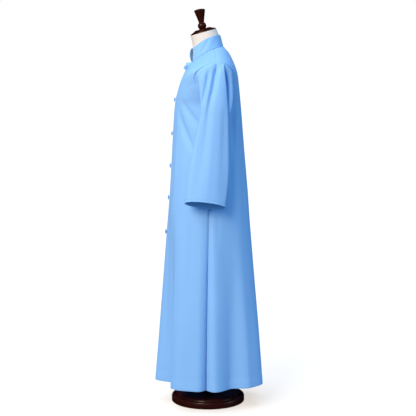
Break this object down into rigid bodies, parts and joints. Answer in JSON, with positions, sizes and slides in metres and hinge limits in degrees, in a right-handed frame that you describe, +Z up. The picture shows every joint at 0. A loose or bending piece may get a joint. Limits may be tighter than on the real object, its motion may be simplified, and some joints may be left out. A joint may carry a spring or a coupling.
{
  "type": "choir cassock on dress form",
  "caption": "Floor-length choir cassock with a standing collar, covered buttons and wide pleated sleeves, worn on a limbless dress form with a turned wood cap, finial and round base.",
  "frame": {"origin": "centre of the round base's underside, on the floor", "axes": "+Z up, -Y the front of the garment, +X the wearer's left, which faces the viewer in the picture"},
  "size_m": [0.538, 0.4423, 1.6154],
  "materials": {
    "cassock_cloth": "plain light blue polyester and cotton twill, soft sheen",
    "covered_button": "the cassock's cloth over a domed shell",
    "form_linen": "cream linen stretched smooth over the form",
    "turned_wood": "dark mahogany stain, gloss varnish",
    "steel_pole": "satin"
  },
  "bodies": {
    "root": {"front_left": "cassock_cloth", "front_right": "cassock_cloth", "back": "cassock_cloth", "sleeve_left": "cassock_cloth", "sleeve_right": "cassock_cloth", "collar": "cassock_cloth", "button_1": "covered_button", "button_2": "covered_button", "button_3": "covered_button", "button_4": "covered_button", "button_5": "covered_button", "button_6": "covered_button", "form_torso": "form_linen", "form_plate": "turned_wood", "neck_cap": "turned_wood", "finial": "turned_wood", "stand_pole": "steel_pole", "stand_base": "turned_wood"}
  },
  "joints": []
}
